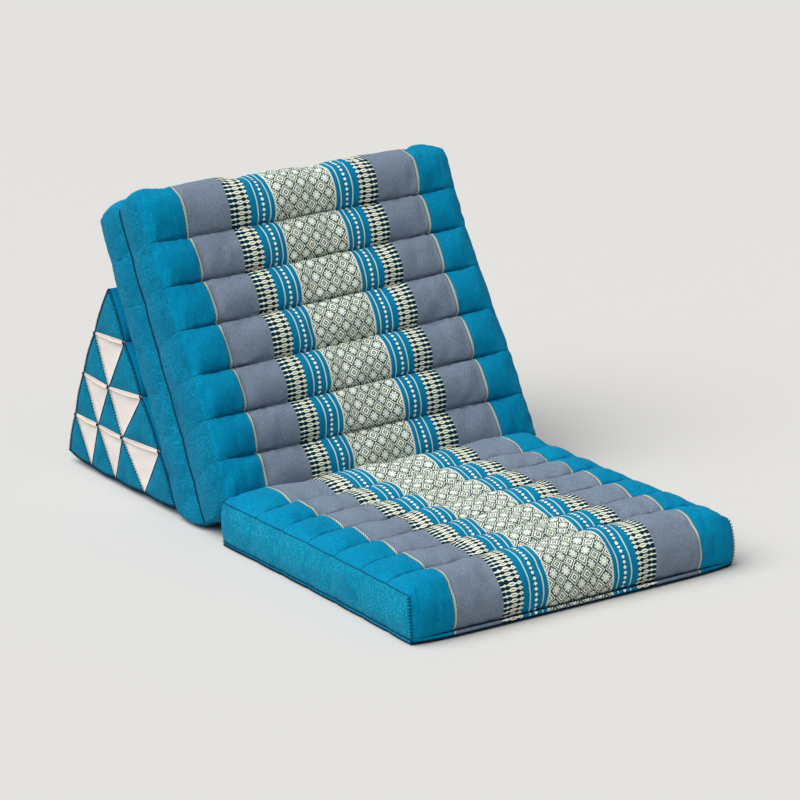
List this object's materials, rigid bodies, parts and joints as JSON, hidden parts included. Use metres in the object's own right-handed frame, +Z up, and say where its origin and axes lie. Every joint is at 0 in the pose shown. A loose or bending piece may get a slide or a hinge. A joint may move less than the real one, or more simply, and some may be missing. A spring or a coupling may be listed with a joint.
{
  "type": "thai triangle cushion",
  "caption": "Filled cotton floor seat: channelled mat on the floor, leaning back mat with another folded behind it, and a triangular bolster that carries both.",
  "frame": {"origin": "on the floor, at the middle of the object's box", "axes": "+Z up, +Y towards the bolster, -X the sitter's right"},
  "size_m": [0.5068, 0.9311, 0.4327],
  "materials": {
    "woven_band_cotton": "matt woven bands of teal, grey-blue, cream and sage cotton",
    "plain_teal_cotton": "matt plain teal cotton",
    "white_cotton": "matt warm white cotton"
  },
  "bodies": {
    "root": {"seat_pad": "woven_band_cotton", "back_pad": "woven_band_cotton", "rear_pad": "woven_band_cotton", "tube_1_1": "plain_teal_cotton", "tube_2_1": "plain_teal_cotton", "tube_2_2": "plain_teal_cotton", "tube_3_1": "plain_teal_cotton", "tube_3_2": "plain_teal_cotton", "tube_3_3": "plain_teal_cotton", "tube_4_1": "plain_teal_cotton", "tube_4_2": "plain_teal_cotton", "tube_4_3": "plain_teal_cotton", "tube_4_4": "plain_teal_cotton", "infill_2_1": "white_cotton", "infill_3_1": "white_cotton", "infill_3_2": "white_cotton", "infill_4_1": "white_cotton", "infill_4_2": "white_cotton", "infill_4_3": "white_cotton"}
  },
  "joints": []
}
